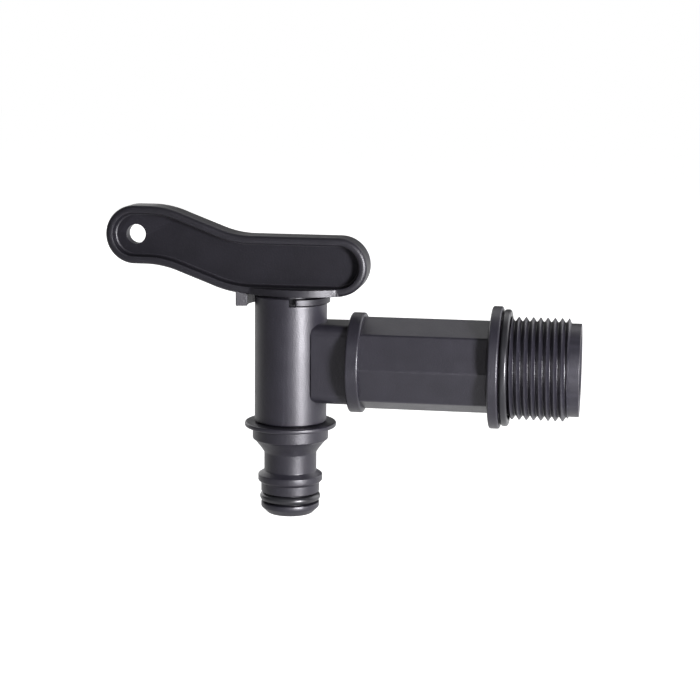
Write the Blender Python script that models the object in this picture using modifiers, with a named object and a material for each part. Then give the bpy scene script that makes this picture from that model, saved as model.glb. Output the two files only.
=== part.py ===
"""Lever tap for an IBC tank: a threaded inlet, a rotary plug under an S-shaped lever, and a
quick-connect outlet nipple.

Frame, in metres: the origin is where the inlet axis meets the flange face that the washer seats on.
+X runs along the inlet into the tank, +Z is up, and the outlet points down.
"""

import math

import bmesh
import bpy

MM = 0.001

# Whole tap
INLET_REACH = 52.1 * MM        # outlet axis to seat face
THREAD_SECTION = 19.0 * MM     # seat face to inlet end
FIT_GAP = 0.3 * MM             # between pieces that touch or turn in each other
SEAL_GAP = 0.15 * MM           # round a rubber ring in its groove
OVERLAP = 1.0 * MM             # joined shapes run this far into each other
OVERRUN = 2.0 * MM             # cutters run this far past a face
EDGE_SOFTNESS = 0.4 * MM       # rounding of the moulded flange rims

# Body: the upright tube
TUBE_RADIUS = 8.9 * MM
TUBE_TOP = 16.2 * MM
TUBE_BOTTOM = -15.1 * MM
TUBE_EDGE = 0.25 * MM
TUBE_WALL = 1.8 * MM
SHOULDER_BOTTOM = 12.1 * MM
SHOULDER_THICKNESS = 1.0 * MM
STEM_RADIUS = 3.4 * MM
NOTCH_FLOOR = 14.3 * MM

# Body: the inlet arm, its walls counted from the bore
INLET_BORE_RADIUS = 9.5 * MM
NECK_RADIUS = 10.3 * MM
NECK_WALL = 2.5 * MM
NECK_START = 5.4 * MM          # from the tube axis
NECK_ROUNDING = 3.2 * MM
FIRST_FLANGE_HEIGHT = 0.8 * MM  # above the octagon's corners
FIRST_FLANGE_START = 15.3 * MM
FIRST_FLANGE_WIDTH = 3.2 * MM
OCTAGON_WALL = 2.0 * MM        # bore to corner
OCTAGON_EDGE = 0.35 * MM
SEAT_FLANGE_HEIGHT = 2.4 * MM  # above the thread's crests
SEAT_FLANGE_WIDTH = 2.5 * MM
SEAT_FILLET = 0.9 * MM         # where the octagon runs into the seat flange
THREAD_WALL = 3.0 * MM         # bore to the thread's crests
THREAD_DEPTH = 1.05 * MM       # crests to roots, and to the undercut's floor
THREAD_PITCH = 1.74 * MM
UNDERCUT_SPARE = 0.05 * MM     # undercut floor past the washer
NOSE_WALL = 1.8 * MM
NOSE_LENGTH = 2.3 * MM
NOSE_CHAMFER = 0.5 * MM

# Body: the waterway
THROAT_END = 17.0 * MM         # from the tube axis
PORT_WALL = 1.6 * MM
PORT_SPARE = 0.1 * MM          # port radius over the plug's bore radius
SEAL_WALL = 1.55 * MM
SEAL_POCKET_DEPTH = 2.5 * MM   # into the chamber's wall

# Plug
PLUG_WALL = 2.4 * MM
PLUG_ROOF = 5.8 * MM           # top of the hollow, above the inlet axis
RING_GROOVE_DEPTH = 1.4 * MM
RING_GROOVE_WIDTH = 1.8 * MM
RING_GROOVE_OFFSET = 8.4 * MM  # above and below the inlet axis
STEM_SQUARE = 5.0 * MM
STEM_ENGAGEMENT = 4.0 * MM

# Lever
LEVER_BOTTOM = 16.5 * MM
LEVER_HALF_WIDTH = 7.2 * MM
LEVER_WAIST = 0.35 * MM        # how much narrower each side of the slope is
LEVER_THICKNESS = 8.0 * MM
LEVER_TIP_REACH = 38.7 * MM    # tube axis to the centre of the round tip
LEVER_HEEL_REACH = 12.1 * MM   # tube axis to the centre of the round heel
LEVER_RISE = 6.65 * MM         # tip centre above heel centre
LEVER_TIP_FLAT = 4.3 * MM
TIP_BEND_RADIUS = 16.0 * MM
HEEL_BEND_RADIUS = 20.0 * MM
LEVER_SLOPE = math.radians(20.5)
LEVER_EDGE = 1.1 * MM
RIM_WIDTH = 1.9 * MM
WEB_THICKNESS = 3.0 * MM
TIP_HOLE_RADIUS = 2.4 * MM
BASE_HALF_WIDTH = 8.2 * MM     # the lens-shaped base that covers the tube
BASE_ARC_RADIUS = 12.5 * MM
BASE_OFFSET = 1.1 * MM         # base centre past the tube axis, towards the heel
BASE_HEIGHT = 1.75 * MM
BASE_FILLET = 1.5 * MM         # where the base runs into the lever's faces
BASE_EDGE = 0.3 * MM
HUB_TOP_STEP = 0.2 * MM        # hub top above the lever's underside
SOCKET_SPARE = 0.3 * MM
LUG_PROUD = 0.75 * MM          # beyond the tube's outside
LUG_HEIGHT = 1.5 * MM
LUG_START = math.radians(-72.5)
LUG_SPAN = math.radians(90.0)
TURN_BACK = math.radians(8.0)
TURN_FORWARD = math.radians(90.0)
STOP_SLACK = math.radians(2.0)
SKIRT_CLEARANCE = 1.8 * MM     # round the tube's outside
SKIRT_THICKNESS = 2.9 * MM
SKIRT_DROP = 3.0 * MM          # below the lever's underside
SKIRT_HALF_SPAN = math.radians(16.0)

# Outlet nipple, from the tube's foot down
DISC_OVERHANG = 2.45 * MM      # beyond the tube's outside
DISC_THICKNESS = 1.15 * MM
DISC_EDGE = 0.4 * MM
COLLAR_OVERHANG = 0.5 * MM
COLLAR_HEIGHT = 3.15 * MM
FLARE_HEIGHT = 3.5 * MM
FLARE_HOLLOWNESS = 1.7         # 1 gives a straight cone, more a deeper hollow
WAIST_WALL = 2.1 * MM
WAIST_HEIGHT = 4.7 * MM
RIDGE_PROUD = 1.5 * MM         # beyond the waist
RIDGE_SHOULDER = 0.6 * MM
RIDGE_CHAMFER = 0.35 * MM
RIDGE_HEIGHT = 2.45 * MM
LAND_TAPER = 0.5 * MM
LAND_WALL = 2.85 * MM
LAND_HEIGHT = 2.2 * MM
OUTLET_GROOVE_DEPTH = 1.75 * MM
OUTLET_GROOVE_WIDTH = 2.7 * MM
TIP_LAND_HEIGHT = 1.2 * MM
TIP_CHAMFER_HEIGHT = 1.5 * MM
TIP_WALL = 1.4 * MM
SPIGOT_LENGTH = 4.55 * MM
SPIGOT_GROOVE_DEPTH = 1.4 * MM
SPIGOT_GROOVE_WIDTH = 1.8 * MM
SPIGOT_GROOVE_START = 1.0 * MM

# Rubber
WASHER_THICKNESS = 1.8 * MM
WASHER_CLEARANCE = 0.1 * MM    # the washer slips on over the thread's crests
WASHER_WIDTH = 1.6 * MM
WASHER_EDGE = 0.7 * MM
OUTLET_RING_SECTION = 0.95 * MM

# Smoothness of round shapes
ROUND_STEPS = 48
RING_STEPS = 32
RING_SECTION_STEPS = 6
EDGE_STEPS = 2
ARC_STEPS = 4
MERGE_DISTANCE = 0.005 * MM
SHARP_ANGLE = math.radians(32.0)

# Places that several pieces share
TUBE_X = -INLET_REACH
CHAMBER_RADIUS = TUBE_RADIUS - TUBE_WALL
SEAL_POCKET_FLOOR = CHAMBER_RADIUS + SEAL_POCKET_DEPTH
PORT_WALL_END = SEAL_POCKET_FLOOR + PORT_WALL
THROAT_RADIUS = NECK_RADIUS - NECK_WALL
OCTAGON_RADIUS = INLET_BORE_RADIUS + OCTAGON_WALL
FIRST_FLANGE_RADIUS = OCTAGON_RADIUS + FIRST_FLANGE_HEIGHT
THREAD_RADIUS = INLET_BORE_RADIUS + THREAD_WALL
THREAD_ROOT_RADIUS = THREAD_RADIUS - THREAD_DEPTH
NOSE_RADIUS = INLET_BORE_RADIUS + NOSE_WALL
SEAT_FLANGE_RADIUS = THREAD_RADIUS + SEAT_FLANGE_HEIGHT
PLUG_RADIUS = CHAMBER_RADIUS - FIT_GAP
PLUG_TOP = SHOULDER_BOTTOM - FIT_GAP
PLUG_BORE_RADIUS = PLUG_RADIUS - PLUG_WALL
PORT_RADIUS = PLUG_BORE_RADIUS + PORT_SPARE
SEAL_POCKET_RADIUS = PORT_RADIUS + SEAL_WALL + SEAL_GAP
SPIGOT_TOP = TUBE_BOTTOM + SPIGOT_LENGTH
PLUG_BOTTOM = SPIGOT_TOP + FIT_GAP
HUB_BOTTOM = SHOULDER_BOTTOM + SHOULDER_THICKNESS + FIT_GAP
STEM_TOP = HUB_BOTTOM + STEM_ENGAGEMENT
WASHER_INNER_RADIUS = THREAD_RADIUS + WASHER_CLEARANCE
RING_GROOVE_RADIUS = PLUG_RADIUS - RING_GROOVE_DEPTH
RING_RADIUS = (CHAMBER_RADIUS - RING_GROOVE_RADIUS) / 2 - SEAL_GAP
LUG_RADIUS = TUBE_RADIUS + LUG_PROUD
SKIRT_INNER_RADIUS = TUBE_RADIUS + SKIRT_CLEARANCE
SKIRT_OUTER_RADIUS = SKIRT_INNER_RADIUS + SKIRT_THICKNESS
DISC_RADIUS = TUBE_RADIUS + DISC_OVERHANG
COLLAR_RADIUS = TUBE_RADIUS + COLLAR_OVERHANG
WAIST_RADIUS = PLUG_BORE_RADIUS + WAIST_WALL
RIDGE_RADIUS = WAIST_RADIUS + RIDGE_PROUD
LAND_RADIUS = PLUG_BORE_RADIUS + LAND_WALL
OUTLET_GROOVE_RADIUS = LAND_RADIUS - OUTLET_GROOVE_DEPTH
TIP_END_RADIUS = PLUG_BORE_RADIUS + TIP_WALL

# Colours
BODY_GREY = (0.062, 0.066, 0.074, 1.0)
LEVER_BLACK = (0.022, 0.022, 0.025, 1.0)
PLUG_GREY = (0.045, 0.047, 0.052, 1.0)
RUBBER_BLACK = (0.012, 0.012, 0.013, 1.0)


def clear_scene():
    for old in list(bpy.data.objects):
        bpy.data.objects.remove(old, do_unlink=True)


def make_collection(name):
    collection = bpy.data.collections.new(name)
    bpy.context.scene.collection.children.link(collection)
    return collection


def make_material(name, colour, roughness):
    material = bpy.data.materials.new(name)
    material.use_nodes = True
    shader = material.node_tree.nodes["Principled BSDF"]
    shader.inputs["Base Color"].default_value = colour
    shader.inputs["Roughness"].default_value = roughness
    shader.inputs["Metallic"].default_value = 0.0
    return material


def add_object(name, mesh, collection):
    item = bpy.data.objects.new(name, mesh)
    collection.objects.link(item)
    return item


def along_inlet(item, start=0.0):
    """Turn an upright shape so that its height runs along +X, from `start` on the inlet axis."""
    item.rotation_euler = (0.0, math.pi / 2, 0.0)
    item.location = (start, 0.0, 0.0)
    return item


def on_tube_axis(item):
    item.location.x = TUBE_X
    return item


def arc(centre_radius, centre_height, size, start, end, steps=ARC_STEPS):
    """Points of a profile arc. Angle 0 points away from the axis and 90 degrees points up."""
    return [
        (
            centre_radius + size * math.cos(start + (end - start) * i / steps),
            centre_height + size * math.sin(start + (end - start) * i / steps),
        )
        for i in range(steps + 1)
    ]


def turned(name, profile, collection, steps=ROUND_STEPS, ring=False):
    """Turn (radius, height) points about Z. The points run down the outside of the shape."""
    mesh = bpy.data.meshes.new(name)
    edges = [(i, i + 1) for i in range(len(profile) - 1)]
    if ring:
        edges.append((len(profile) - 1, 0))
    mesh.from_pydata([(radius, 0.0, height) for radius, height in profile], edges, [])
    item = add_object(name, mesh, collection)
    screw = item.modifiers.new("Turn", "SCREW")
    screw.axis = "Z"
    screw.steps = steps
    screw.render_steps = steps
    screw.use_merge_vertices = True
    screw.merge_threshold = MERGE_DISTANCE
    return item


def cylinder(name, radius, bottom, top, collection, steps=ROUND_STEPS):
    """An upright cylinder, or a prism when it has few steps."""
    mesh = bpy.data.meshes.new(name)
    shape = bmesh.new()
    bmesh.ops.create_cone(
        shape, cap_ends=True, segments=steps, radius1=radius, radius2=radius, depth=top - bottom
    )
    bmesh.ops.translate(shape, verts=shape.verts, vec=(0.0, 0.0, (top + bottom) / 2))
    shape.to_mesh(mesh)
    shape.free()
    return add_object(name, mesh, collection)


def flat_outline(name, points, thickness, collection):
    """A flat closed outline in XY, given its thickness about z = 0, as a mesh."""
    curve = bpy.data.curves.new(name, "CURVE")
    curve.dimensions = "2D"
    curve.fill_mode = "BOTH"
    curve.extrude = thickness / 2
    spline = curve.splines.new("POLY")
    spline.points.add(len(points) - 1)
    for point, (x, y) in zip(spline.points, points):
        point.co = (x, y, 0.0, 1.0)
    spline.use_cyclic_u = True
    drawn = add_object(name + "_curve", curve, collection)
    bpy.context.view_layer.update()
    evaluated = drawn.evaluated_get(bpy.context.evaluated_depsgraph_get())
    mesh = bpy.data.meshes.new_from_object(evaluated)
    shape = bmesh.new()
    shape.from_mesh(mesh)
    bmesh.ops.remove_doubles(shape, verts=shape.verts, dist=MERGE_DISTANCE)
    bmesh.ops.recalc_face_normals(shape, faces=shape.faces)
    shape.to_mesh(mesh)
    shape.free()
    bpy.data.objects.remove(drawn, do_unlink=True)
    return add_object(name, mesh, collection)


def sector(name, inner, outer, start, end, bottom, top, collection):
    """A piece of a thick ring about Z, between two angles counted from +X."""
    steps = max(2, round(ROUND_STEPS * (end - start) / math.tau))
    angles = [start + (end - start) * i / steps for i in range(steps + 1)]
    outside = [(outer * math.cos(a), outer * math.sin(a)) for a in angles]
    inside = [(inner * math.cos(a), inner * math.sin(a)) for a in reversed(angles)]
    item = flat_outline(name, outside + inside, top - bottom, collection)
    item.location.z = (top + bottom) / 2
    return item


def combine(item, other, operation):
    boolean = item.modifiers.new(other.name, "BOOLEAN")
    boolean.operation = operation
    boolean.solver = "EXACT"
    boolean.object = other
    other.hide_render = True
    other.display_type = "WIRE"


def soften(item, width, segments=EDGE_STEPS):
    bevel = item.modifiers.new("Soft edges", "BEVEL")
    bevel.width = width
    bevel.segments = segments
    bevel.limit_method = "ANGLE"
    bevel.angle_limit = SHARP_ANGLE
    bevel.use_clamp_overlap = True


def finish(item, material):
    """Keep the evaluated mesh, shade its round faces smooth and give it its material."""
    bpy.context.view_layer.update()
    evaluated = item.evaluated_get(bpy.context.evaluated_depsgraph_get())
    mesh = bpy.data.meshes.new_from_object(evaluated)
    item.modifiers.clear()
    item.data = mesh
    mesh.name = item.name
    mesh.materials.clear()
    mesh.materials.append(material)
    mesh.shade_smooth()
    mesh.set_sharp_from_angle(angle=SHARP_ANGLE)


def round_ring(name, ring_radius, section_radius, collection):
    """A rubber ring of round section about Z."""
    profile = arc(ring_radius, 0.0, section_radius, math.pi / 2, -3 * math.pi / 2, RING_SECTION_STEPS)
    return turned(name, profile[:-1], collection, steps=RING_STEPS, ring=True)


def make_tube(parts):
    profile = [
        (0.0, TUBE_TOP),
        (TUBE_RADIUS - TUBE_EDGE, TUBE_TOP),
        (TUBE_RADIUS, TUBE_TOP - TUBE_EDGE),
        (TUBE_RADIUS, TUBE_BOTTOM + TUBE_EDGE),
        (TUBE_RADIUS - TUBE_EDGE, TUBE_BOTTOM),
        (0.0, TUBE_BOTTOM),
    ]
    return on_tube_axis(turned("body", profile, parts))


def thread_rings(start, end):
    """Profile of the thread's crests and roots as plain rings, from `end` down to `start`."""
    count = int((end - start) / THREAD_PITCH)
    points = []
    for i in reversed(range(count)):
        root = start + THREAD_PITCH * (i + 1)
        points += [(THREAD_ROOT_RADIUS, root), (THREAD_RADIUS, root - THREAD_PITCH / 2)]
    return points


def flange_rim(radius, start, end):
    """Profile of a flange's two soft edges, from `end` down to `start`."""
    middle = radius - EDGE_SOFTNESS
    upper = arc(middle, end - EDGE_SOFTNESS, EDGE_SOFTNESS, math.pi / 2, 0.0, EDGE_STEPS)
    lower = arc(middle, start + EDGE_SOFTNESS, EDGE_SOFTNESS, 0.0, -math.pi / 2, EDGE_STEPS)
    return upper + lower


def make_inlet_arm(cutters):
    """The turned stretch of the inlet: neck, two flanges, undercut, thread and plain nose."""
    neck_start = TUBE_X + NECK_START
    flange_start = TUBE_X + FIRST_FLANGE_START
    flange_end = flange_start + FIRST_FLANGE_WIDTH
    seat_start = -SEAT_FLANGE_WIDTH
    core_radius = OCTAGON_RADIUS * math.cos(math.pi / 8) - EDGE_SOFTNESS
    nose_start = THREAD_SECTION - NOSE_LENGTH
    undercut_end = FIT_GAP + WASHER_THICKNESS + UNDERCUT_SPARE
    profile = [
        (0.0, THREAD_SECTION),
        (NOSE_RADIUS - NOSE_CHAMFER, THREAD_SECTION),
        (NOSE_RADIUS, THREAD_SECTION - NOSE_CHAMFER),
        (NOSE_RADIUS, nose_start),
    ]
    profile += thread_rings(undercut_end, nose_start)
    profile += [
        (THREAD_ROOT_RADIUS, undercut_end),
        (THREAD_ROOT_RADIUS, 0.0),
    ]
    profile += flange_rim(SEAT_FLANGE_RADIUS, seat_start, 0.0)
    profile += [
        (OCTAGON_RADIUS + SEAT_FILLET, seat_start),
        (core_radius, seat_start - (OCTAGON_RADIUS + SEAT_FILLET - core_radius)),
        (core_radius, flange_end),
    ]
    profile += flange_rim(FIRST_FLANGE_RADIUS, flange_start, flange_end)
    profile.append((NECK_RADIUS, flange_start))
    profile += arc(NECK_RADIUS - NECK_ROUNDING, neck_start + NECK_ROUNDING, NECK_ROUNDING, 0.0, -math.pi / 2)
    profile.append((0.0, neck_start))
    return along_inlet(turned("inlet_arm", profile, cutters))


def make_octagon(cutters):
    """The eight-sided grip for a spanner, one corner up."""
    start = TUBE_X + FIRST_FLANGE_START + FIRST_FLANGE_WIDTH / 2
    prism = cylinder("octagon", OCTAGON_RADIUS, start, -SEAT_FLANGE_WIDTH / 2, cutters, steps=8)
    soften(prism, OCTAGON_EDGE)
    return along_inlet(prism)


def make_body(parts, cutters, material):
    """The tap's main moulding, joined from its round shapes and then bored out."""
    body = make_tube(parts)
    combine(body, make_inlet_arm(cutters), "UNION")
    combine(body, make_octagon(cutters), "UNION")

    bore_start = TUBE_X + THROAT_END
    port_start = TUBE_X + PORT_WALL_END
    floor = TUBE_X + SEAL_POCKET_FLOOR
    bore = [
        (0.0, THREAD_SECTION + OVERRUN),
        (INLET_BORE_RADIUS, THREAD_SECTION + OVERRUN),
        (INLET_BORE_RADIUS, bore_start),
        (THROAT_RADIUS, bore_start),
        (THROAT_RADIUS, port_start),
        (PORT_RADIUS, port_start),
        (PORT_RADIUS, floor),
        (SEAL_POCKET_RADIUS, floor),
        (SEAL_POCKET_RADIUS, TUBE_X),
        (0.0, TUBE_X),
    ]
    combine(body, along_inlet(turned("inlet_bore", bore, cutters)), "DIFFERENCE")

    shoulder_top = SHOULDER_BOTTOM + SHOULDER_THICKNESS
    chamber = [
        (0.0, TUBE_TOP + OVERRUN),
        (CHAMBER_RADIUS, TUBE_TOP + OVERRUN),
        (CHAMBER_RADIUS, shoulder_top),
        (STEM_RADIUS + FIT_GAP, shoulder_top),
        (STEM_RADIUS + FIT_GAP, SHOULDER_BOTTOM),
        (CHAMBER_RADIUS, SHOULDER_BOTTOM),
        (CHAMBER_RADIUS, TUBE_BOTTOM - OVERRUN),
        (0.0, TUBE_BOTTOM - OVERRUN),
    ]
    combine(body, on_tube_axis(turned("chamber", chamber, cutters)), "DIFFERENCE")

    notch = sector(
        "rim_notch",
        CHAMBER_RADIUS - OVERLAP,
        TUBE_RADIUS + OVERRUN,
        LUG_START - TURN_BACK - STOP_SLACK,
        LUG_START + LUG_SPAN + TURN_FORWARD + STOP_SLACK,
        NOTCH_FLOOR,
        TUBE_TOP + OVERRUN,
        cutters,
    )
    combine(body, on_tube_axis(notch), "DIFFERENCE")
    finish(body, material)
    return body


def make_washer(parts, material):
    """The flat rubber ring that seals the inlet against the tank."""
    top = FIT_GAP + WASHER_THICKNESS
    edge_radius = WASHER_INNER_RADIUS + WASHER_WIDTH - WASHER_EDGE
    profile = [(WASHER_INNER_RADIUS, top)]
    profile += arc(edge_radius, top - WASHER_EDGE, WASHER_EDGE, math.pi / 2, 0.0, EDGE_STEPS)
    profile += arc(edge_radius, FIT_GAP + WASHER_EDGE, WASHER_EDGE, 0.0, -math.pi / 2, EDGE_STEPS)
    profile.append((WASHER_INNER_RADIUS, FIT_GAP))
    washer = along_inlet(turned("inlet_washer", profile, parts, ring=True))
    finish(washer, material)
    return washer


def ring_groove(centre):
    """Profile of one seal groove in the plug, from its upper lip down."""
    top = centre + RING_GROOVE_WIDTH / 2
    bottom = centre - RING_GROOVE_WIDTH / 2
    return [
        (PLUG_RADIUS, top),
        (RING_GROOVE_RADIUS, top),
        (RING_GROOVE_RADIUS, bottom),
        (PLUG_RADIUS, bottom),
    ]


def make_plug(parts, cutters, material):
    """The hollow plug: water enters its side port and leaves through its open bottom."""
    stem_base = HUB_BOTTOM - FIT_GAP / 2
    profile = [
        (0.0, stem_base),
        (STEM_RADIUS, stem_base),
        (STEM_RADIUS, PLUG_TOP),
        (PLUG_RADIUS, PLUG_TOP),
    ]
    profile += ring_groove(RING_GROOVE_OFFSET)
    profile += ring_groove(-RING_GROOVE_OFFSET)
    profile += [
        (PLUG_RADIUS, PLUG_BOTTOM),
        (PLUG_BORE_RADIUS, PLUG_BOTTOM),
        (PLUG_BORE_RADIUS, PLUG_ROOF),
        (0.0, PLUG_ROOF),
    ]
    plug = on_tube_axis(turned("plug", profile, parts))

    side = STEM_SQUARE / math.sqrt(2)
    square = cylinder("stem_square", side, PLUG_TOP, STEM_TOP, cutters, steps=4)
    square.rotation_euler.z = math.pi / 4
    combine(plug, on_tube_axis(square), "UNION")

    port = cylinder("plug_port", PLUG_BORE_RADIUS, 0.0, PLUG_RADIUS + OVERRUN, cutters)
    combine(plug, along_inlet(port, TUBE_X), "DIFFERENCE")
    finish(plug, material)
    return plug


def make_plug_rings(parts, material):
    ring_centre = (CHAMBER_RADIUS + RING_GROOVE_RADIUS) / 2
    for name, height in (
        ("plug_oring_upper", RING_GROOVE_OFFSET),
        ("plug_oring_lower", -RING_GROOVE_OFFSET),
    ):
        ring = on_tube_axis(round_ring(name, ring_centre, RING_RADIUS, parts))
        ring.location.z = height
        finish(ring, material)


def make_seat_seal(parts, cutters, material):
    """The rubber sleeve between the body's port and the plug, hollowed to fit the plug's side."""
    inner = PORT_RADIUS
    outer = SEAL_POCKET_RADIUS - SEAL_GAP
    end = TUBE_X + SEAL_POCKET_FLOOR - SEAL_GAP
    start = TUBE_X + OVERLAP
    seal = along_inlet(
        turned("seat_seal", [(inner, end), (outer, end), (outer, start), (inner, start)], parts, ring=True)
    )
    clearance = cylinder(
        "plug_clearance", PLUG_RADIUS + SEAL_GAP, -CHAMBER_RADIUS, CHAMBER_RADIUS, cutters
    )
    combine(seal, on_tube_axis(clearance), "DIFFERENCE")
    finish(seal, material)


def lever_spine():
    """The lever's S-shaped middle line from heel to tip, as (x, z, direction) from the tube axis."""
    heel_z = LEVER_BOTTOM + LEVER_HALF_WIDTH
    tip_z = heel_z + LEVER_RISE
    tip_bend_x = -LEVER_TIP_REACH + LEVER_TIP_FLAT
    bend_drop = (TIP_BEND_RADIUS + HEEL_BEND_RADIUS) * (1 - math.cos(LEVER_SLOPE))
    bend_run = (TIP_BEND_RADIUS + HEEL_BEND_RADIUS) * math.sin(LEVER_SLOPE)
    heel_bend_x = tip_bend_x + bend_run + (LEVER_RISE - bend_drop) / math.tan(LEVER_SLOPE)
    spine = [(LEVER_HEEL_REACH, heel_z, 0.0)]
    for i in range(ARC_STEPS + 1):
        turn = LEVER_SLOPE * i / ARC_STEPS
        spine.append(
            (
                heel_bend_x - HEEL_BEND_RADIUS * math.sin(turn),
                heel_z + HEEL_BEND_RADIUS * (1 - math.cos(turn)),
                turn,
            )
        )
    for i in range(ARC_STEPS + 1):
        turn = LEVER_SLOPE * (1 - i / ARC_STEPS)
        spine.append(
            (
                tip_bend_x + TIP_BEND_RADIUS * math.sin(turn),
                tip_z - TIP_BEND_RADIUS * (1 - math.cos(turn)),
                turn,
            )
        )
    spine.append((-LEVER_TIP_REACH, tip_z, 0.0))
    return spine


def lever_outline(inset):
    """The lever's side view as a closed outline, `inset` inside its outer edge."""
    spine = lever_spine()
    lower, upper = [], []
    for x, z, turn in spine:
        half = LEVER_HALF_WIDTH - LEVER_WAIST * math.sin(turn) / math.sin(LEVER_SLOPE) - inset
        lower.append((x - half * math.sin(turn), z - half * math.cos(turn)))
        upper.append((x + half * math.sin(turn), z + half * math.cos(turn)))
    end_radius = LEVER_HALF_WIDTH - inset
    steps = 4 * ARC_STEPS
    tip = arc(spine[-1][0], spine[-1][1], end_radius, -math.pi / 2, -3 * math.pi / 2, steps)
    heel = arc(spine[0][0], spine[0][1], end_radius, math.pi / 2, -math.pi / 2, steps)
    return lower[:-1] + tip + upper[-2:0:-1] + heel[:-1]


def underside_height(reach):
    """Height of the lever's underside at a distance behind the tube axis, towards the tip."""
    spine = lever_spine()
    under = lever_outline(0.0)[: len(spine) - 1]
    for (x1, z1), (x2, z2) in zip(under, under[1:]):
        if x2 <= -reach <= x1:
            return z1 + (z2 - z1) * (x1 + reach) / (x1 - x2)
    return under[-1][1]


def base_outline():
    """The lever base in plan: two wide arcs that run into the lever's faces through fillets."""
    face = LEVER_THICKNESS / 2
    arc_centre = BASE_ARC_RADIUS - BASE_HALF_WIDTH
    fillet_rise = arc_centre + face + BASE_FILLET
    fillet_reach = math.sqrt((BASE_ARC_RADIUS + BASE_FILLET) ** 2 - fillet_rise**2)
    span = math.asin(fillet_reach / (BASE_ARC_RADIUS + BASE_FILLET))
    up = math.pi / 2
    far_fillet = arc(fillet_reach, face + BASE_FILLET, BASE_FILLET, -up, -up - span, EDGE_STEPS)
    wide_arc = arc(0.0, -arc_centre, BASE_ARC_RADIUS, up - span, up + span, 3 * ARC_STEPS)
    near_fillet = arc(-fillet_reach, face + BASE_FILLET, BASE_FILLET, -up + span, -up, EDGE_STEPS)
    inside = face - LEVER_EDGE
    run_out = fillet_reach + LEVER_EDGE
    side = [(run_out, inside)] + far_fillet + wide_arc[1:-1] + near_fillet + [(-run_out, inside)]
    return side + [(-x, -y) for x, y in side]


def upright(item, offset=0.0):
    """Stand a flat outline up in the XZ plane on the tube axis, `offset` to the front."""
    item.rotation_euler = (math.pi / 2, 0.0, 0.0)
    item.location = (TUBE_X, -offset, 0.0)
    return item


def make_lever(parts, cutters, material):
    """The S-shaped lever: rimmed web on both sides, base, hub, stop lug, skirt and socket."""
    lever = upright(flat_outline("lever", lever_outline(0.0), LEVER_THICKNESS, parts))
    soften(lever, LEVER_EDGE)

    recess_depth = (LEVER_THICKNESS - WEB_THICKNESS) / 2
    recess_middle = LEVER_THICKNESS / 2 - recess_depth / 2 + OVERRUN / 2
    for name, offset in (("front_recess", recess_middle), ("back_recess", -recess_middle)):
        pocket = flat_outline(name, lever_outline(RIM_WIDTH), recess_depth + OVERRUN, cutters)
        combine(lever, upright(pocket, offset), "DIFFERENCE")

    hole = cylinder("tip_hole", TIP_HOLE_RADIUS, -LEVER_THICKNESS, LEVER_THICKNESS, cutters, RING_STEPS)
    upright(hole)
    hole.location.x -= LEVER_TIP_REACH
    hole.location.z = LEVER_BOTTOM + LEVER_HALF_WIDTH + LEVER_RISE
    combine(lever, hole, "DIFFERENCE")

    hub_top = LEVER_BOTTOM + HUB_TOP_STEP
    hub = cylinder("hub", CHAMBER_RADIUS - FIT_GAP, HUB_BOTTOM, hub_top, cutters)
    combine(lever, on_tube_axis(hub), "UNION")

    base = flat_outline("lever_base", base_outline(), BASE_HEIGHT, cutters)
    base.location = (TUBE_X + BASE_OFFSET, 0.0, LEVER_BOTTOM + BASE_HEIGHT / 2)
    soften(base, BASE_EDGE, segments=1)
    combine(lever, base, "UNION")

    lug_bottom = NOTCH_FLOOR + FIT_GAP
    lug = sector(
        "stop_lug",
        CHAMBER_RADIUS - OVERLAP,
        LUG_RADIUS,
        LUG_START,
        LUG_START + LUG_SPAN,
        lug_bottom,
        lug_bottom + LUG_HEIGHT,
        cutters,
    )
    combine(lever, on_tube_axis(lug), "UNION")

    skirt = sector(
        "skirt",
        SKIRT_INNER_RADIUS,
        SKIRT_OUTER_RADIUS,
        math.pi - SKIRT_HALF_SPAN,
        math.pi + SKIRT_HALF_SPAN,
        LEVER_BOTTOM - SKIRT_DROP,
        underside_height(SKIRT_OUTER_RADIUS) + RIM_WIDTH / 2,
        cutters,
    )
    combine(lever, on_tube_axis(skirt), "UNION")

    side = (STEM_SQUARE + 2 * FIT_GAP) / math.sqrt(2)
    socket = cylinder("socket", side, HUB_BOTTOM - OVERRUN, STEM_TOP + SOCKET_SPARE, cutters, steps=4)
    socket.rotation_euler.z = math.pi / 4
    combine(lever, on_tube_axis(socket), "DIFFERENCE")
    finish(lever, material)
    return lever


def nipple_levels():
    """Heights of the outlet nipple's steps, from the disc's top down to the tip."""
    levels = {"disc": TUBE_BOTTOM - FIT_GAP}
    previous = levels["disc"]
    for name, height in (
        ("collar", DISC_THICKNESS),
        ("flare", COLLAR_HEIGHT),
        ("waist", FLARE_HEIGHT),
        ("ridge", WAIST_HEIGHT),
        ("taper", RIDGE_HEIGHT),
        ("land", LAND_TAPER),
        ("groove", LAND_HEIGHT),
        ("tip_land", OUTLET_GROOVE_WIDTH),
        ("chamfer", TIP_LAND_HEIGHT),
        ("end", TIP_CHAMFER_HEIGHT),
    ):
        previous -= height
        levels[name] = previous
    return levels


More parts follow.
